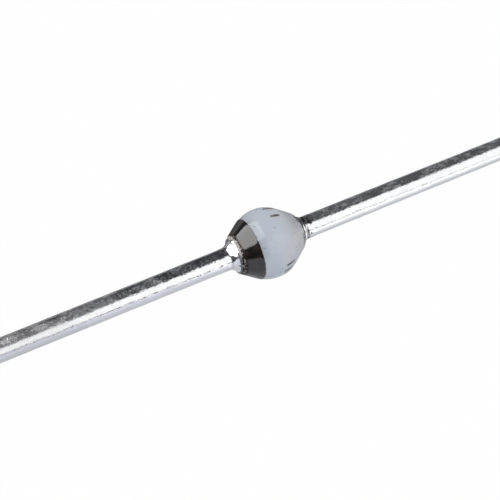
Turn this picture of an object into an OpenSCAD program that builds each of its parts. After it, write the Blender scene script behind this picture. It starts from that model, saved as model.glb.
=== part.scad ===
// Axial rectifier diode with a sintered glass bead for a body.
//
// The two lead wires run along X, with the cathode towards -X and the anode
// towards +X. The origin is the middle of the silicon chip, on the lead axis.
// Inside the glass the chip is bonded between two molybdenum studs, and each
// lead is brazed to the outer end of its stud. All sizes are in millimetres.

/* [Leads] */
// Diameter of the tinned copper lead wires
lead_d = 1.3; // [1.2:0.01:1.4]
// Length of each wire from its end on the stud to its cut tip
lead_len = 26.1; // [15:0.1:30]
// Chamfer round the cut tip of each wire
lead_chamfer = 0.08; // [0.02:0.01:0.2]

/* [Chip] */
// Diameter of the chip's wide face, which is bonded to the cathode stud
chip_wide_d = 1.7; // [1.55:0.05:1.85]
// Diameter of the chip's narrow face, which is bonded to the anode stud
chip_narrow_d = 1.5; // [1.2:0.05:1.65]
// Thickness of the silicon
chip_t = 0.26; // [0.2:0.01:0.4]
// Thickness of the hard solder on each face of the chip
bond_t = 0.04; // [0.03:0.01:0.06]

/* [Studs] */
// Diameter of the molybdenum studs
stud_d = 1.92; // [1.8:0.01:2.0]
// Length of each stud
stud_len = 1.78; // [1.7:0.01:1.85]

/* [Braze collars] */
// Thickness of the braze between a wire's end and its stud
braze_t = 0.05; // [0.03:0.01:0.1]
// Slope of a collar's cone from the lead axis, in degrees
collar_slope = 48; // [40:1:55]
// Diameter of the cathode collar at its foot
cathode_collar_d = 1.86; // [1.75:0.01:1.95]
// Height of the cathode collar's straight foot
cathode_foot = 0.03; // [0.01:0.01:0.1]
// Radius of the hollow fillet from the cathode collar's cone to the wire
cathode_fillet = 0.55; // [0.3:0.05:0.7]
// Diameter of the anode collar at its foot, which the glass overlaps
anode_collar_d = 1.78; // [1.7:0.01:1.84]
// Height of the anode collar's foot that stands clear of the glass
anode_foot = 0.01; // [0.01:0.01:0.1]
// Radius of the hollow fillet from the anode collar's cone to the wire
anode_fillet = 0.5; // [0.15:0.05:0.6]

/* [Glass bead] */
// Largest diameter of the glass bead
bead_d = 4; // [3.7:0.05:4.3]
// Radius of the bead's rounded crown, seen in lengthwise section
crown_r = 1.96; // [1.8:0.01:1.98]
// Distance from the chip's middle to the bead's largest section, towards the anode
crown_x = 0.07; // [-0.1:0.01:0.15]
// Thickness of the glass round the cathode stud's outer end
cathode_cover = 0.05; // [0.04:0.01:0.12]
// Thickness of the glass round the anode stud's outer end
anode_cover = 0.13; // [0.08:0.01:0.18]
// Length of glass that runs past the anode stud onto its collar
anode_creep = 0.14; // [0.1:0.01:0.2]
// Thickness of the glass at the end of that run
anode_lip = 0.05; // [0.03:0.01:0.08]

/* [Cathode band] */
// Distance along the axis from the glass edge to the far edge of the band
band_w = 1.08; // [0.5:0.02:1.3]
// Thickness of the fired ink
band_t = 0.04; // [0.03:0.01:0.06]

/* [Hidden] */

crown_steps = 36;
fillet_steps = 12;

lead_r = lead_d / 2;
stud_r = stud_d / 2;

// Stations along the axis, as distances from the chip's middle
chip_face = chip_t / 2;
stud_inner = chip_face + bond_t;
stud_outer = stud_inner + stud_len;
lead_seat = stud_outer + braze_t;
lead_tip = lead_seat + lead_len;

// The bead's section is a crown arc with a straight flank tangent to it each
// side, which ends over the outer edge of a stud
crown_centre = [crown_x, bead_d / 2 - crown_r];
cathode_edge = [-stud_outer, stud_r + cathode_cover];
anode_edge = [stud_outer, stud_r + anode_cover];
cathode_turn = -flank_turn(cathode_edge);
anode_turn = flank_turn(anode_edge);

// How far round the crown from its top the flank that ends at an edge leaves it
function flank_turn(edge) =
    let (reach = edge - crown_centre)
    90 - atan2(reach.y, abs(reach.x)) - acos(crown_r / norm(reach));

// Point that lies a height above another one, square to the slope at a turn
function raised(point, turn, height) = point + height * [sin(turn), cos(turn)];

// The bead's section from edge to edge, raised by a height above the glass
function outline(height) = [
    raised(cathode_edge, cathode_turn, height),
    for (i = [0 : crown_steps])
        let (turn = cathode_turn + (anode_turn - cathode_turn) * i / crown_steps)
        raised(crown_centre, turn, crown_r + height),
    raised(anode_edge, anode_turn, height),
];

// The part of a section that lies before a station, cut square there
function before(section, station) = [
    for (point = section) if (point.x < station) point,
    [station, lookup(station, section)],
];

function reversed(list) = [for (i = [len(list) - 1 : -1 : 0]) list[i]];

// Turns a section about the X axis; its points are [distance along X, radius]
module turned(section) {
    rotate([0, 90, 0])
        rotate_extrude($fn = 96)
            polygon([for (point = section) [point.y, point.x]]);
}

// Stands what is drawn for the anode end at the cathode end
module at_cathode() {
    mirror([1, 0, 0])
        children();
}

// Wire from its seat in the braze to its cut tip
module lead() {
    color("silver")
        turned([
            [lead_seat, 0],
            [lead_seat, lead_r],
            [lead_tip - lead_chamfer, lead_r],
            [lead_tip, lead_r - lead_chamfer],
            [lead_tip, 0],
        ]);
}

// Braze that holds a wire on its stud: a film under the wire's end, and a
// collar that falls in a cone and a hollow fillet to the wire
module braze_collar(collar_d, foot, fillet) {
    foot_top = stud_outer + foot;
    fillet_r = lead_r + fillet * (1 - cos(collar_slope));
    fillet_end = foot_top
        + (collar_d / 2 - fillet_r) / tan(collar_slope)
        + fillet * sin(collar_slope);
    color("gainsboro")
        turned([
            [stud_outer, 0],
            [stud_outer, collar_d / 2],
            [foot_top, collar_d / 2],
            for (i = [fillet_steps : -1 : 0])
                let (slope = collar_slope * i / fillet_steps)
                [
                    fillet_end - fillet * sin(slope),
                    lead_r + fillet * (1 - cos(slope)),
                ],
            [lead_seat, lead_r],
            [lead_seat, 0],
        ]);
}

// Molybdenum stud between the chip's bond and the braze
module stud() {
    color("slategray")
        turned([
            [stud_inner, 0],
            [stud_inner, stud_r],
            [stud_outer, stud_r],
            [stud_outer, 0],
        ]);
}

// Disc of hard solder on one face of the chip
module bond(face_d) {
    color("lightgray")
        turned([
            [chip_face, 0],
            [chip_face, face_d / 2],
            [stud_inner, face_d / 2],
            [stud_inner, 0],
        ]);
}

// Silicon chip with a bevelled edge
module silicon_chip() {
    color("dimgray")
        turned([
            [-chip_face, 0],
            [-chip_face, chip_wide_d / 2],
            [chip_face, chip_narrow_d / 2],
            [chip_face, 0],
        ]);
}

// Glass sintered round the studs and the chip's edge, with no gap
module glass_bead() {
    collar_r = anode_collar_d / 2;
    color("lightsteelblue")
        turned([
            each outline(0),
            [stud_outer + anode_creep, collar_r + anode_lip],
            [stud_outer + anode_creep, collar_r],
            [stud_outer, collar_r],
            [stud_outer, stud_r],
            [stud_inner, stud_r],
            [stud_inner, chip_narrow_d / 2],
            [chip_face, chip_narrow_d / 2],
            [-chip_face, chip_wide_d / 2],
            [-stud_inner, chip_wide_d / 2],
            [-stud_inner, stud_r],
            [-stud_outer, stud_r],
        ]);
}

// Dark ink fired onto the glass from its cathode edge towards the crown
module cathode_band() {
    far_edge = cathode_edge.x + band_w;
    color("#2e2623")
        turned([
            each before(outline(band_t), far_edge),
            each reversed(before(outline(0), far_edge)),
        ]);
}

at_cathode() lead();  // cathode_lead
lead();  // anode_lead
at_cathode() braze_collar(cathode_collar_d, cathode_foot, cathode_fillet);  // cathode_braze_collar
braze_collar(anode_collar_d, anode_creep + anode_foot, anode_fillet);  // anode_braze_collar
at_cathode() stud();  // cathode_stud
stud();  // anode_stud
at_cathode() bond(chip_wide_d);  // cathode_bond
bond(chip_narrow_d);  // anode_bond
silicon_chip();
glass_bead();
cathode_band();
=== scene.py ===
from math import cos, exp, pi, radians, sin, sqrt

import bpy
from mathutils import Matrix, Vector, noise


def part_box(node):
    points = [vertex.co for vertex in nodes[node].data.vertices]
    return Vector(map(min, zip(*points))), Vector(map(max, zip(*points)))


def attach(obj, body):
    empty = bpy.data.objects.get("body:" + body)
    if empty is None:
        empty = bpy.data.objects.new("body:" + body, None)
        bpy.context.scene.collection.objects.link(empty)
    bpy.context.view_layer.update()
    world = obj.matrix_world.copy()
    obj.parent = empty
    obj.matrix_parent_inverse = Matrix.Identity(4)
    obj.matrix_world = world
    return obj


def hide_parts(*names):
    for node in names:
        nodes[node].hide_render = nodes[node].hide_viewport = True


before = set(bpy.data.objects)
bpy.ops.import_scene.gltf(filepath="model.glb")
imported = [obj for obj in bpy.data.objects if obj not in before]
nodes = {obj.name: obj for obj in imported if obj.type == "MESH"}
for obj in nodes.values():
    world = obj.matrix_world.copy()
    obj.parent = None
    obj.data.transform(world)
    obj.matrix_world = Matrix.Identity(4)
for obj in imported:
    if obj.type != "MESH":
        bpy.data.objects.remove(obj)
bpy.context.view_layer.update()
scene = bpy.context.scene
MM = 0.001

bead_low, bead_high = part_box("glass_bead")
band_low, band_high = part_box("cathode_band")
bead_r = bead_high.z

# The side that faces up in the view, in degrees about X from +Y towards +Z
TOP_TURN = 37.5
# The anode braze's ridge and the valley behind it, in millimetres past the glass
RIDGE_OUT, VALLEY_OUT = 0.20, 0.36


def on_ring(x, r, angle):
    """A point at a radius from the X axis, at an angle from +Y towards +Z."""
    return Vector((x, r * cos(angle), r * sin(angle)))


# ---------------------------------------------------------------- finishes

WHITE = (1, 1, 1, 1)


def tone(red, green, blue):
    """A colour as the eye names it, 0 to 255 a channel, in the shader's linear scale."""
    def linear(level):
        level = level / 255
        return level / 12.92 if level <= 0.04045 else ((level + 0.055) / 1.055) ** 2.4
    return (linear(red), linear(green), linear(blue), 1.0)


class Signal:
    """A socket that can be used in sums: each sign adds its Math node."""

    def __init__(self, finish, socket):
        self.finish = finish
        self.socket = socket

    def math(self, operation, *terms):
        return self.finish.add("Math", {"operation": operation}, dict(enumerate(terms)))

    def __add__(self, other):
        return self.math("ADD", self, other)

    def __radd__(self, other):
        return self.math("ADD", other, self)

    def __sub__(self, other):
        return self.math("SUBTRACT", self, other)

    def __rsub__(self, other):
        return self.math("SUBTRACT", other, self)

    def __mul__(self, other):
        return self.math("MULTIPLY", self, other)

    def __rmul__(self, other):
        return self.math("MULTIPLY", other, self)

    def __abs__(self):
        return self.math("ABSOLUTE", self)

    def most(self, other):
        """The larger of two signals."""
        return self.math("MAXIMUM", self, other)

    def over(self, low, high):
        """0 where the signal is under low, 1 where it is over high, eased between."""
        return self.finish.add(
            "MapRange", {"interpolation_type": "SMOOTHSTEP"},
            {"Value": self, "From Min": low, "From Max": high})

    def under(self, low, high):
        """1 where the signal is under low, 0 where it is over high, eased between."""
        return 1.0 - self.over(low, high)

    def axis(self, letter):
        """One coordinate of a place: X, Y or Z."""
        return self.finish.add("SeparateXYZ", None, {0: self}, output=letter)

    def towards(self, direction):
        """How far a place lies in a direction from the origin."""
        return self.finish.add(
            "VectorMath", {"operation": "DOT_PRODUCT"}, {0: self, 1: direction}, output="Value")

    def stretched(self, factors):
        """A place times a factor each way. A factor under 1 draws a pattern out."""
        return self.finish.add("VectorMath", {"operation": "MULTIPLY"}, {0: self, 1: factors})

    def grain(self, scale, detail=2.0, rough=0.5):
        """Soft noise at a place, with scale counted in patches to the millimetre."""
        return self.finish.add(
            "TexNoise", None,
            {"Vector": self, "Scale": scale, "Detail": detail, "Roughness": rough})

    def cells(self, scale):
        """How far a place lies from the nearest of scattered points, scale of them
        to the millimetre, as a share of their spacing."""
        return self.finish.add("TexVoronoi", None, {"Vector": self, "Scale": scale})


class Finish:
    """A material, or the world's, in the making."""

    def __init__(self, owner):
        owner.use_nodes = True
        self.owner = owner
        self.tree = owner.node_tree
        self.tree.nodes.clear()

    def add(self, kind, settings=None, inputs=None, output=0):
        """Adds a node, sets it up, joins its sockets, and gives one of its outputs."""
        made = self.tree.nodes.new("ShaderNode" + kind)
        for key, value in (settings or {}).items():
            setattr(made, key, value)
        for key, value in (inputs or {}).items():
            socket = made.inputs[key]
            if isinstance(value, Signal):
                self.tree.links.new(value.socket, socket)
            else:
                socket.default_value = value
        return Signal(self, made.outputs[output]) if made.outputs else None

    def place(self):
        """Where a point lies on the part, in millimetres."""
        metres = self.add("TexCoord", output="Object")
        return self.add("VectorMath", {"operation": "SCALE"}, {0: metres, "Scale": 1 / MM})

    def ray(self, kind):
        """1 for the rays of a kind, such as Camera or Glossy, and 0 for all others."""
        return self.add("LightPath", output=f"Is {kind} Ray")

    def blend(self, share, first, second):
        """The first colour where the share is 0, and the second where it is 1."""
        return self.add(
            "Mix", {"data_type": "RGBA"}, {"Factor": share, 6: first, 7: second}, output=2)

    def layered(self, colour, *layers):
        """A colour with others laid over it in turn, each with its own share."""
        for share, layer in layers:
            colour = self.blend(share, colour, layer)
        return colour

    def mixed(self, share, first, second):
        """The first shader where the share is 0, and the second where it is 1."""
        return self.add("MixShader", None, {0: share, 1: first, 2: second})

    def glow(self, colour, strength):
        return self.add("Emission", None, {"Color": colour, "Strength": strength})

    def bump(self, height, distance):
        return self.add("Bump", None, {"Height": height, "Distance": distance})

    def surfaced(self, shader, output="OutputMaterial"):
        """Joins a shader to the output, and gives the finished material."""
        self.add(output, None, {"Surface": shader})
        return self.owner

    def finished(self, **sockets):
        """Gives the material a Principled shader with these sockets."""
        named = {key.replace("_", " "): value for key, value in sockets.items()}
        return self.surfaced(self.add("BsdfPrincipled", None, named))


def tinned(name, haze, clean_to, far_from, dents):
    """Bright tin dip on copper wire, mottled with a bloom of fine crystals, with
    pits, drawing lines and faceted dents. It is hazy in patches, more of them with
    more haze, but clean up to clean_to from the part's middle, and its shine is
    softer past far_from, both in millimetres."""
    tin = Finish(bpy.data.materials.new(name))
    place = tin.place()
    out = abs(place.axis("X"))
    drawn_out = place.stretched((0.7, 1, 1))
    patches = place.stretched((0.6, 1, 1)).grain(1.3, 5.0, 0.62)
    hazy = patches.over(0.47 - haze, 0.56 - haze) * out.over(clean_to - 1.5, clean_to)
    crystals = drawn_out.grain(4.0, 4.0, 0.72)
    mottled = crystals.over(0.42, 0.62)
    bloom = mottled * (hazy * 0.13 + 0.075) + hazy * 0.06
    far = out.over(far_from, far_from + 5.0)
    lines = place.stretched((0.15, 1, 1)).grain(14.0)
    pits = place.cells(3.4).under(0.05, 0.11) * place.grain(1.1, 1.0).over(0.5, 0.58)
    facets = drawn_out.cells(8.5) * place.grain(1.6).over(0.42, 0.56)
    height = crystals * (hazy * 0.3 + 0.3) + lines * 0.15 - pits * 0.9 + facets * dents
    return tin.finished(
        Base_Color=tin.layered(
            tone(230, 231, 233), (far, tone(222, 222, 223)), (pits, tone(70, 66, 62))),
        Metallic=1.0 - bloom,
        Roughness=mottled * 0.05 + hazy * 0.06 + far * 0.11 + pits * 0.2 + 0.06,
        Normal=tin.bump(height, 0.012 * MM),
    )


def brazed(name, glass_end, line, spots, pools):
    """Bright braze metal that froze smooth, with dark flux in a line along the
    glass, if the line has a width, and in a share of spots. In the valley it is dark
    in pools of some strength, flux together with painted shade. Lengths are in millimetres."""
    braze = Finish(bpy.data.materials.new(name))
    place = braze.place()
    past_glass = abs(place.axis("X")) - glass_end
    grit = place.grain(5.0, 4.0, 0.55)
    spotted = place.grain(3.1, 3.0, 0.6).over(0.67 - spots, 0.73 - spots)
    lined = past_glass.under(line - 0.05, line) * 0.9
    valley = abs(past_glass - VALLEY_OUT).under(0.05, 0.10)
    # Painted shade, together with flux, in pools along the valley's hollow.
    valley_flux_and_painted_shade = valley * place.grain(1.9, 1.0).over(0.38, 0.60) * pools
    # The flux, and the painted shade of the valley pools.
    flux = spotted.most(lined).most(valley_flux_and_painted_shade)
    return braze.finished(
        Base_Color=braze.blend(flux, tone(230, 230, 232), tone(66, 64, 68)),
        Metallic=1.0,
        Roughness=grit * 0.12 + flux * 0.2 + 0.05,
        Normal=braze.bump(grit, 0.006 * MM),
    )


def opal_glass(name, cathode_end, ink_end, anode_end):
    """Milky lead glass, bluish, and warmer towards the anode, where stains cling to it
    and it is darker in patches at its end. On the side that faces up, painted shade
    lies in it next to the ink and over the anode stud, and its thin cathode edge is
    painted lit beige under a flash of braze. Below, that edge is painted dark in shade.
    The ends, and the ink's, are in millimetres along X."""
    opal = Finish(bpy.data.materials.new(name))
    place = opal.place()
    along = place.axis("X")
    top_side = place.towards(on_ring(0, 1, radians(TOP_TURN)))
    cloud = place.grain(0.8, 3.0)
    warm = (along + cloud * 0.9).over(anode_end - 1.45, anode_end + 0.45)
    # Painted shade next to the ink, on the side that faces up only.
    ink_painted_shade = along.under(ink_end + 0.07, ink_end + 0.52) * top_side.over(-1.2, -0.5)
    # Painted shade over the anode stud on the side that faces up, where the dark stud also
    # shows through the thin glass.
    stud_dark_and_painted_shade = along.over(anode_end - 0.95, anode_end - 0.25) * top_side.over(-0.3, 0.7)
    stain = place.grain(1.3, 4.0, 0.6).over(0.56, 0.70)
    stain = stain * along.over(anode_end - 2.15, anode_end - 1.15)
    thin = along.under(cathode_end + 0.15, cathode_end + 0.35)
    # The thin cathode edge: painted light, beige, on the side that faces up, and painted shade,
    # dark, below it.
    rim = opal.blend(top_side.over(-0.4, 0.0), tone(104, 104, 110), tone(192, 187, 180))
    # Darker patches at the glass's anode end.
    darkened = along.over(anode_end - 0.15, anode_end + 0.01) * place.grain(1.6).over(0.42, 0.52)
    darkened = darkened * place.grain(9.0).over(0.32, 0.52)
    specks = place.cells(3.1).under(0.06, 0.13) * place.grain(0.9).over(0.42, 0.48)
    uneven = along - place.grain(6.0) * 0.12
    flash = uneven.under(cathode_end - 0.035, cathode_end - 0.005)
    flash = flash * top_side.over(-0.35, -0.10)
    skin_waves = place.grain(2.2)
    return opal.finished(
        Base_Color=opal.layered(
            tone(205, 212, 221),
            (cloud.over(0.35, 0.65), tone(211, 215, 221)),
            (warm, tone(202, 202, 204)),
            (ink_painted_shade * 0.6, tone(180, 186, 197)),
            (stud_dark_and_painted_shade * 0.9, tone(176, 178, 184)),
            (stain * 0.5, tone(210, 206, 196)),
            (thin, rim),
            (darkened * 0.9, tone(84, 74, 68)),
            (specks * 0.8, tone(80, 84, 90)),
            (flash, tone(228, 228, 230)),
        ),
        Metallic=flash,
        Roughness=skin_waves * 0.02 + flash * 0.08 + 0.01,
        IOR=1.36,
        Subsurface_Weight=0.6,
        Subsurface_Radius=(0.9, 1.0, 1.1),
        Subsurface_Scale=0.25 * MM,
        Normal=opal.bump(skin_waves, 0.0006 * MM),
    )


def fired_ink(name, edge):
    """Glossy brown-black ink. Near its edge at the metal, a place along X in
    millimetres, it breaks up into sooty crumbs with the glass between them."""
    ink = Finish(bpy.data.materials.new(name))
    place = ink.place()
    near = place.axis("X").under(edge + 0.23, edge + 0.36)
    cloud = place.grain(2.6, 4.0, 0.6)
    crumbs = place.grain(11.0, 1.0)
    bare = (crumbs * near).over(0.54, 0.60)
    return ink.finished(
        Base_Color=ink.layered(
            tone(24, 21, 20),
            (cloud.over(0.45, 0.65), tone(46, 34, 26)),
            (near * 0.8, tone(24, 20, 18)),
            (bare, tone(130, 125, 121)),
        ),
        Metallic=near * (1.0 - bare) * 0.85,
        Roughness=cloud * 0.08 + 0.07 + near * 0.28,
        IOR=1.62,
        Normal=ink.bump(cloud + crumbs * near * 9.0, 0.004 * MM),
    )


def printed_ink(name):
    """Thin brown-grey printing ink that lets the glass through in places."""
    ink = Finish(bpy.data.materials.new(name))
    worn = ink.place().grain(6.0, 4.0, 0.7).over(0.42, 0.68)
    return ink.finished(
        Base_Color=ink.blend(worn, tone(84, 76, 72), tone(150, 148, 150)),
        Roughness=worn * 0.2 + 0.3,
    )


def plain_metal(name, light, dark, scale, rough, streak=(1, 1, 1)):
    """Metal of a hidden piece: turned, sawn or cast, with a fine grain."""
    metal = Finish(bpy.data.materials.new(name))
    grit = metal.place().stretched(streak).grain(scale, 4.0, 0.6)
    return metal.finished(
        Base_Color=metal.blend(grit.over(0.35, 0.65), light, dark),
        Metallic=1.0,
        Roughness=grit * 0.2 + rough,
        Normal=metal.bump(grit, 0.004 * MM),
    )


def etched_silicon(name):
    """Silicon, dark and nearly a mirror, with faint etch figures."""
    chip = Finish(bpy.data.materials.new(name))
    etch = chip.place().grain(7.0, 3.0)
    return chip.finished(
        Base_Color=chip.blend(etch.over(0.4, 0.6), tone(86, 90, 98), tone(70, 73, 82)),
        Metallic=0.85,
        Roughness=etch * 0.12 + 0.12,
        Normal=chip.bump(etch, 0.002 * MM),
    )


# ------------------------------------------------------------------ shapes
# A section or outline is a list of points, each its distance along X and radius.

# Radii and gaps below these, in metres, count as none
ON_AXIS, TOUCHING = 1e-9, 1e-6


def outline_of(node):
    """The outside of a turned CAD node, read from its mesh to a tenth of a micron."""
    widest = {}
    for vertex in nodes[node].data.vertices:
        x = round(vertex.co.x, 7)
        widest[x] = max(widest.get(x, 0.0), sqrt(vertex.co.y ** 2 + vertex.co.z ** 2))
    return sorted(widest.items())


def bulging(outline):
    """An outline without the points that lie inside its bulge."""
    kept = []
    for x, r in outline:
        while len(kept) > 1:
            (x0, r0), (x1, r1) = kept[-2:]
            if (x1 - x0) * (r - r0) < (r1 - r0) * (x - x0):
                break
            kept.pop()
        kept.append((x, r))
    return kept


def radius_at(outline, x):
    """The radius that an outline has at a station."""
    for (x0, r0), (x1, r1) in zip(outline, outline[1:]):
        if x0 <= x <= x1:
            return r0 + (r1 - r0) * (x - x0) / (x1 - x0)
    return outline[0][1] if x < outline[0][0] else outline[-1][1]


def slope_at(outline, x):
    """How steeply an outline climbs at a station, over a short way either side."""
    way = 0.01 * MM
    return (radius_at(outline, x + way) - radius_at(outline, x - way)) / (2 * way)


def spaced(section, step):
    """A section with points added so that they lie about a step apart."""
    points = [section[0]]
    for (x0, r0), (x1, r1) in zip(section, section[1:]):
        count = max(1, round(sqrt((x1 - x0) ** 2 + (r1 - r0) ** 2) / step))
        for k in range(1, count + 1):
            points.append((x0 + (x1 - x0) * k / count, r0 + (r1 - r0) * k / count))
    return points


def softened(section, times):
    """A section with its corners cut off, again and again, until they look round."""
    for _ in range(times):
        cut = [section[0]]
        for (x0, r0), (x1, r1) in zip(section, section[1:]):
            cut.append((0.75 * x0 + 0.25 * x1, 0.75 * r0 + 0.25 * r1))
            cut.append((0.25 * x0 + 0.75 * x1, 0.25 * r0 + 0.75 * r1))
        section = cut + [section[-1]]
    return section


def climb(value, low, high):
    """0 where a value is at low or before it, 1 from high on, straight between."""
    return min(1.0, max(0.0, (value - low) / (high - low)))


def wave(x, r, angle, size, seed, stretch=1.0):
    """Smooth noise over the surface, from -1 to 1, in waves of a size."""
    spot = on_ring(x / stretch, r, angle) / size
    return noise.noise(spot + Vector((seed, seed * 1.7, seed * 2.3)))


def make_object(name, points, faces):
    """Puts a mesh of these points and faces in the scene."""
    mesh = bpy.data.meshes.new(name)
    mesh.from_pydata(points, [], faces)
    mesh.validate()
    mesh.update()
    made = bpy.data.objects.new(name, mesh)
    scene.collection.objects.link(made)
    return made


def lathe(name, section, worked, around):
    """Turns a section about X into a closed skin, and works each point off the
    axis. A section that doesn't start on the axis is a ring: its ends join."""
    points, faces, loops = [], [], []
    for x, r in section:
        count = 1 if r < ON_AXIS else around
        loops.append((len(points), count))
        for j in range(count):
            angle = 2 * pi * j / around
            point = (x, r) if count == 1 else worked(x, r, angle)
            points.append(on_ring(*point, angle))
    pairs = list(zip(loops, loops[1:]))
    if loops[0][1] > 1:
        pairs.append((loops[-1], loops[0]))
    for (a, count_a), (b, count_b) in pairs:
        for j in range(around):
            k = (j + 1) % around
            if count_a == 1:
                faces.append((a, b + k, b + j))
            elif count_b == 1:
                faces.append((a + j, a + k, b))
            else:
                faces.append((a + j, a + k, b + k, b + j))
    piece = make_object(name, points, faces)
    piece.data.shade_smooth()
    piece.data.set_sharp_from_angle(angle=radians(40))
    return piece


def fit_out(piece, material, node=None):
    """Puts a piece on the body with its finish, in the CAD node's stead if it has one."""
    piece.data.materials.append(material)
    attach(piece, "root")
    if node:
        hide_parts(node)


bead_outline = bulging(outline_of("glass_bead"))
crown_x = max(bead_outline, key=lambda point: point[1])[0]


def wire_of(node):
    """A lead's side of the part, -1 or 1, how far out its seat and tip lie, and its
    radius."""
    low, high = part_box(node)
    seat, tip = sorted((abs(low.x), abs(high.x)))
    return 1 if high.x > 0 else -1, seat, tip, high.z


# The swell of dipped tin: the size and height of each wave in millimetres, how
# far it is drawn out along the wire, and its seed
TIN_WAVES = ((0.9, 0.010, 1.5, 0), (0.38, 0.0042, 1.6, 4), (0.16, 0.0013, 1.5, 9))


def make_lead(name, node, material, seed):
    """Drawn wire, tinned by dipping, so that its skin swells and sinks a little,
    and more where the braze has wetted it. Its cut end stays plain."""
    side, seat, tip, wire_r = wire_of(node)
    tip_r = radius_at(outline_of(node), side * tip)
    chamfer = wire_r - tip_r
    cut_end = 0.2 * MM
    sunk = 0.010 * MM
    section = spaced([(seat, wire_r), (tip - chamfer, wire_r)], 0.06 * MM)
    section = [(seat, 0.0)] + section + [(tip, tip_r), (tip, 0.0)]
    section = [(side * x, r) for x, r in section]

    def worked(x, r, angle):
        if abs(x) > tip - cut_end:
            return x, r
        swell = sum(
            wave(x, r, angle, size * MM, seed + own, stretch) * height * MM
            for size, height, stretch, own in TIN_WAVES)
        wetted = climb(abs(x) - seat, 0.8 * MM, 0.3 * MM)
        return x, min(wire_r, r - sunk + swell * (1.0 + 0.9 * wetted))

    piece = lathe(name, section, worked, around=96)
    fit_out(piece, material, node)


def make_collar(name, node, lead_node, material, lump, film, ridge, seed):
    """Braze fillet that froze unevenly between the stud and the wire, in lumps of
    a height, with a ridge round it, and ran out along the wire in a lumpy film."""
    side, seat, _, wire_r = wire_of(lead_node)
    glass_end = max(side * bead_low.x, side * bead_high.x)
    outer = [(abs(x), r) for x, r in outline_of(node)]
    outer = sorted((x, r) for x, r in outer if abs(x - seat) > TOUCHING)
    foot, top = outer[0][0], outer[-1][0]
    outer.append((top + film, wire_r))
    section = [(foot, 0.0)] + spaced(outer, 0.02 * MM) + [(seat, wire_r), (seat, 0.0)]
    section = [(side * x, r) for x, r in section]
    # The share of the collar's height from which the film beads on it
    film_from = 0.9
    ridge_spread = 0.05 * MM

    def worked(x, r, angle):
        run = (abs(x) - foot) / (top - foot)
        on_wire_end = abs(x) <= seat + TOUCHING and r <= wire_r + TOUCHING
        if run <= 0.02 or on_wire_end:
            return x, r
        hold = climb(run, 0.0, 0.12) * (0.3 + 0.7 * climb(run, 1.0, 0.7))
        swell = wave(x, r, angle, 0.9 * MM, seed)
        swell += 0.25 * wave(x, r, angle, 0.35 * MM, seed + 5)
        r += hold * lump * swell
        if run > film_from:
            beaded = wave(x, r, angle, 0.15 * MM, seed + 9, 3.5) + 0.3
            r += climb(run, film_from, 1.0) * beaded * 0.014 * MM - 0.003 * MM
        off_ridge = (abs(x) - glass_end - RIDGE_OUT * MM) / ridge_spread
        r += ridge * exp(-off_ridge * off_ridge)
        return x, max(r, wire_r - 0.03 * MM)

    piece = lathe(name, section, worked, around=160)
    fit_out(piece, material, node)


def make_bead(material):
    """Glass drawn round by its own surface tension, and sintered onto the studs,
    the bonds and the chip inside it."""
    collar_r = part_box("anode_braze_collar")[1].z
    stud_low, stud_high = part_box("anode_stud")
    wide_low, wide_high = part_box("cathode_bond")
    narrow_low, narrow_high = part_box("anode_bond")
    lip_from = bead_high.x - 0.25 * MM
    lip_start = (lip_from, radius_at(bead_outline, lip_from))
    flank = [point for point in bead_outline if point[0] < lip_from] + [lip_start]
    lip = [lip_start] + [point for point in bead_outline if point[0] > lip_from]
    lip = softened(lip + [(bead_high.x, collar_r)], 3)
    outer = spaced(flank, 0.04 * MM) + lip[1:-1]
    inner = [
        (bead_high.x, collar_r),
        (stud_high.x, collar_r),
        (stud_high.x, stud_high.z),
        (stud_low.x, stud_high.z),
        (stud_low.x, narrow_high.z),
        (narrow_low.x, narrow_high.z),
        (wide_high.x, wide_high.z),
        (wide_low.x, wide_high.z),
        (wide_low.x, stud_high.z),
        (bead_low.x, stud_high.z),
    ]

    def worked(x, r, angle):
        if r < stud_high.z + 0.03 * MM:
            return x, r
        return x, r + wave(x, r, angle, 1.6 * MM, 3.0) * 0.004 * MM

    piece = lathe("opal_bead", outer + inner, worked, around=256)
    fit_out(piece, material, "glass_bead")


def make_band(material):
    """Ink fired onto the flank: crisp towards the crown, jagged and crumbled at the
    metal, where the side that faces up is left bare."""
    start, end = band_low.x, band_high.x
    thick, sunk = 0.028 * MM, 0.004 * MM
    # The shares of its width, from the metal on, that are crumbled and jagged
    crumbled, jagged = 0.38, 0.25
    under = [point for point in spaced(bead_outline, 0.02 * MM) if start < point[0] < end]
    under = under[1:] + [(end - sunk, radius_at(bead_outline, end))]

    def raised(point, lift):
        x, r = point
        slope = slope_at(bead_outline, x)
        length = sqrt(1 + slope * slope)
        return x - slope / length * lift, r + lift / length

    top = []
    for index, point in enumerate(under):
        steps_in = min(index, len(under) - 1 - index)
        rounded = sqrt(min(1.0, (steps_in + 0.6) / 3))
        top.append(raised(point, thick * rounded))
    section = top + [raised(point, -sunk) for point in reversed(under)]

    def worked(x, r, angle):
        run = (x - start) / (end - start)
        if r > radius_at(bead_outline, x) + 0.006 * MM:
            grit = wave(x, r, angle, 0.06 * MM, 31.0) + wave(x, r, angle, 0.13 * MM, 37.0)
            r += max(0.0, 1.0 - run / crumbled) * grit * 0.012 * MM
        jag = 0.03 * MM * wave(0.0, bead_r, angle, 0.50 * MM, 21.0)
        jag += 0.04 * MM * wave(0.0, bead_r, angle, 0.14 * MM, 25.0)
        bared = 0.10 * MM * climb(cos(angle - radians(TOP_TURN)), -0.5, 0.0)
        x += max(0.0, 1.0 - run / jagged) * (bared + max(0.0, jag))
        return x, r

    piece = lathe("ink_band", section, worked, around=512)
    fit_out(piece, material, "cathode_band")


# The middle of each printed dash: its turn from the top side in degrees, and its
# distance from the crown along X in millimetres
DASHES = ((0, 0.5), (25, 0.55), (50, 0.57), (142, 0.53), (156, 0.42), (172, 0.5))


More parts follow.
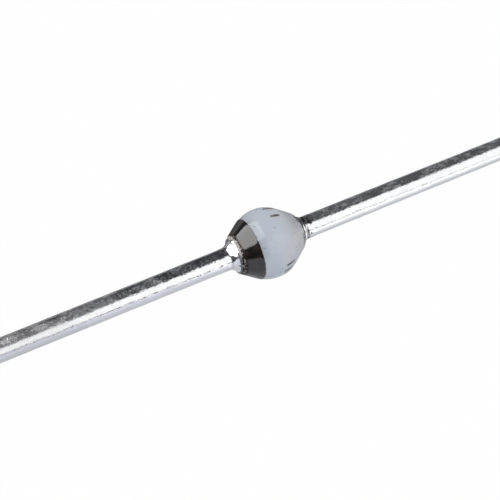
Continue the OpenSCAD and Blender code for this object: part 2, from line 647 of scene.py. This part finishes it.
def bent_dash(turn, offset):
    """Points and faces of a closed dash that is bent to the glass and sunk in it a
    little."""
    dash_len, dash_wide = 0.55 * MM, 0.15 * MM
    long_steps, wide_steps = 16, 6
    points, faces = [], []
    for lift in (0.010 * MM, -0.003 * MM):
        for i in range(long_steps + 1):
            x = crown_x + offset * MM + (i / long_steps - 0.5) * dash_len
            for j in range(wide_steps + 1):
                angle = radians(TOP_TURN + turn) + (j / wide_steps - 0.5) * dash_wide / bead_r
                points.append(on_ring(x, radius_at(bead_outline, x) + lift, angle))

    def at(layer, i, j):
        return (layer * (long_steps + 1) + i) * (wide_steps + 1) + j

    for i in range(long_steps):
        for j in range(wide_steps):
            faces.append((at(0, i, j), at(0, i, j + 1), at(0, i + 1, j + 1), at(0, i + 1, j)))
            faces.append((at(1, i, j), at(1, i + 1, j), at(1, i + 1, j + 1), at(1, i, j + 1)))
    rim = [(i, 0) for i in range(long_steps)]
    rim += [(long_steps, j) for j in range(wide_steps)]
    rim += [(i, wide_steps) for i in range(long_steps, 0, -1)]
    rim += [(0, j) for j in range(wide_steps, 0, -1)]
    for (a, b), (c, d) in zip(rim, rim[1:] + rim[:1]):
        faces.append((at(0, a, b), at(0, c, d), at(1, c, d), at(1, a, b)))
    return points, faces


def make_dashes(material):
    """Plain ink dashes round the bead, which stand where makers print a code."""
    points, faces = [], []
    for turn, offset in DASHES:
        dash_points, dash_faces = bent_dash(turn, offset)
        faces += [[len(points) + corner for corner in face] for face in dash_faces]
        points += dash_points
    piece = make_object("ink_dashes", points, faces)
    piece.data.shade_smooth()
    fit_out(piece, material)


def dress(material, *names):
    """Gives its finish to CAD nodes that keep their shape."""
    for name in names:
        nodes[name].data.materials.clear()
        nodes[name].data.materials.append(material)


make_lead("cathode_wire", "cathode_lead",
          tinned("tin_dull", haze=0.01, clean_to=5.6, far_from=8.0, dents=0.7), seed=1.0)
make_lead("anode_wire", "anode_lead",
          tinned("tin_bright", haze=0.05, clean_to=3.4, far_from=14.0, dents=0.5), seed=5.0)
make_collar("cathode_fillet", "cathode_braze_collar", "cathode_lead",
            brazed("cathode_braze", -bead_low.x / MM, line=0.0, spots=0.06, pools=0.22),
            lump=0.03 * MM, film=0.15 * MM, ridge=0.0, seed=11.0)
make_collar("anode_fillet", "anode_braze_collar", "anode_lead",
            brazed("anode_braze", bead_high.x / MM, line=0.13, spots=0.12, pools=0.94),
            lump=0.05 * MM, film=0.45 * MM, ridge=0.035 * MM, seed=17.0)
make_bead(opal_glass("opal_glass", cathode_end=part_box("cathode_stud")[0].x / MM,
                     ink_end=band_high.x / MM, anode_end=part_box("anode_stud")[1].x / MM))
make_band(fired_ink("band_ink", band_low.x / MM))
make_dashes(printed_ink("print_ink"))

molybdenum = plain_metal(
    "molybdenum", tone(150, 152, 158), tone(128, 130, 136), 6.0, 0.24, streak=(1, 0.2, 0.2))
hard_solder = plain_metal("hard_solder", tone(208, 210, 214), tone(186, 188, 193), 9.0, 0.26)
dress(molybdenum, "cathode_stud", "anode_stud")
dress(hard_solder, "cathode_bond", "anode_bond")
dress(etched_silicon("silicon"), "silicon_chip")


# ------------------------------------------------------------------ studio

AZIMUTH, ELEVATION = radians(-28.04), radians(49.16)
DISTANCE = 80 * MM
VIEW_WIDTH = 27.6855 * MM
SENSOR_WIDTH = 36
# How far the middle of the view lies left of the crown's middle, and below it
AIM_LEFT, AIM_DOWN = 0.890 * MM, 0.378 * MM
FLOOR_REACH = 1.2
PANEL_AWAY = 400 * MM

crown = Vector((crown_x, 0, 0))


def place_camera():
    """Looks at the bead from in front and above, a little from the cathode side."""
    back = Vector((
        sin(AZIMUTH) * cos(ELEVATION), -cos(AZIMUTH) * cos(ELEVATION), sin(ELEVATION)))
    right = Vector((cos(AZIMUTH), sin(AZIMUTH), 0))
    up = back.cross(right)
    aim = crown - right * AIM_LEFT - up * AIM_DOWN
    camera = bpy.data.objects.new("camera", bpy.data.cameras.new("camera"))
    scene.collection.objects.link(camera)
    scene.camera = camera
    camera.data.sensor_width = SENSOR_WIDTH
    camera.data.lens = SENSOR_WIDTH * DISTANCE / VIEW_WIDTH
    camera.data.clip_start = 1 * MM
    camera.data.clip_end = 5
    camera.location = aim + back * DISTANCE
    camera.rotation_mode = "QUATERNION"
    camera.rotation_quaternion = (-back).to_track_quat("-Z", "Y")


def white_paper():
    """Paper that looks evenly white, with a trace of shade. The part mirrors more of
    it, glowing with painted light and shade: pale in front, greyer to the left and in
    painted shade close by, a painted shadow behind the part, and a painted lighter
    patch far off to the left behind it."""
    paper = Finish(bpy.data.materials.new("white_paper"))
    place = paper.place()
    sideways, depth = place.axis("X"), place.axis("Y")
    # Painted light fall-off over the paper in front: greyer and cooler to the left.
    front = paper.blend(sideways.over(-5.0, 6.0), tone(197, 198, 209), tone(246, 246, 246))
    # Painted shadow behind the part, starting further back to the right, and a painted lighter
    # patch far behind on the left.
    behind = depth - sideways.most(0.0) * 0.35
    far_left_painted_light = depth.over(10.0, 20.0) * sideways.under(-4.0, 2.0)
    # The painted shades that the part mirrors: grey close by, lit in front, a shadow behind,
    # and a lighter patch far left.
    shade = paper.layered(
        tone(174, 176, 180),
        (depth.under(-6.0, -0.8), front),
        (behind.over(-0.5, 2.0), tone(106, 107, 110)),
        (far_left_painted_light, tone(164, 161, 161)),
    )
    matte = paper.add("BsdfDiffuse", None, {"Color": tone(190, 194, 200)})
    # For glossy rays the paper glows with these painted shades, though it is no lamp.
    lit = paper.mixed(paper.ray("Glossy"), matte, paper.glow(shade, 1.5))
    return paper.surfaced(paper.mixed(paper.ray("Camera") * 0.985, lit, paper.glow(WHITE, 1.0)))


def lay_floor():
    """A sheet of paper that lies just under the bead."""
    level = bead_low.z - 0.02 * MM
    corners = ((-1, -1), (1, -1), (1, 1), (-1, 1))
    points = [(x * FLOOR_REACH, y * FLOOR_REACH, level) for x, y in corners]
    floor = make_object("floor", points, [(0, 1, 2, 3)])
    floor.data.materials.append(white_paper())


def heading(azimuth, elevation):
    """Unit vector that points from the bead towards a place round it, in degrees."""
    azimuth, elevation = radians(azimuth), radians(elevation)
    return Vector((
        cos(azimuth) * cos(elevation), sin(azimuth) * cos(elevation), sin(elevation)))


def softbox(name, corners, radiance, fade):
    """A flat panel that shows in reflections. Its corners are headings, from the
    lower left one round, and its top fades out over a share of its height."""
    corners = [heading(*corner) for corner in corners]
    middle = sum(corners, Vector()).normalized()
    points = [crown + corner * (PANEL_AWAY / corner.dot(middle)) for corner in corners]
    panel = make_object(name, points, [(0, 1, 2, 3)])
    spread = panel.data.uv_layers.new(name="spread").data
    for loop, corner in zip(spread, ((0, 0), (1, 0), (1, 1), (0, 1))):
        loop.uv = corner
    panel.visible_camera = False
    panel.visible_diffuse = False
    panel.visible_shadow = False
    cloth = Finish(bpy.data.materials.new(name))
    height = cloth.add("TexCoord", output="UV").axis("Y")
    lit = cloth.blend(height.over(1.0 - fade, 1.0), WHITE, tone(110, 110, 112))
    panel.data.materials.append(cloth.surfaced(cloth.glow(lit, radiance)))


def light_room():
    """An even white light from all round. The part mirrors dim walls instead, and
    the camera sees plain white."""
    scene.world = bpy.data.worlds.new("studio")
    sky = Finish(scene.world)
    whither = sky.add("TexCoord", output="Generated")
    aside, away, rise = (whither.axis(letter) for letter in "XYZ")
    right_wall = aside.over(0.30, 0.36) * aside.under(0.60, 0.70)
    post = aside.over(0.19, 0.25) * aside.under(0.29, 0.35)
    low_left = rise.under(0.06, 0.16) * aside.under(-0.05, 0.12) * away.over(0.3, 0.6)
    walls = sky.layered(
        tone(60, 60, 63),
        (rise.over(-0.1, 1.0), tone(122, 122, 126)),
        (right_wall, tone(84, 84, 88)),
        (post, tone(56, 56, 60)),
        (low_left, tone(160, 157, 157)),
    )

    def shining(colour):
        return sky.add("Background", None, {"Color": colour, "Strength": 1.0})

    room = sky.mixed(sky.ray("Diffuse"), shining(walls), shining(tone(250, 250, 252)))
    seen = sky.ray("Camera").most(sky.ray("Transmission"))
    sky.surfaced(sky.mixed(seen, room, shining(WHITE)), "OutputWorld")


place_camera()
lay_floor()
softbox("window", ((-171, 7), (128, 5), (94, 44), (235, 71)), radiance=4.5, fade=0.02)
softbox("front_panel", ((-105, 11), (-15, -8), (-15, 62), (-105, 62)),
        radiance=1.28, fade=0.22)
light_room()

scene.view_settings.view_transform = "Standard"
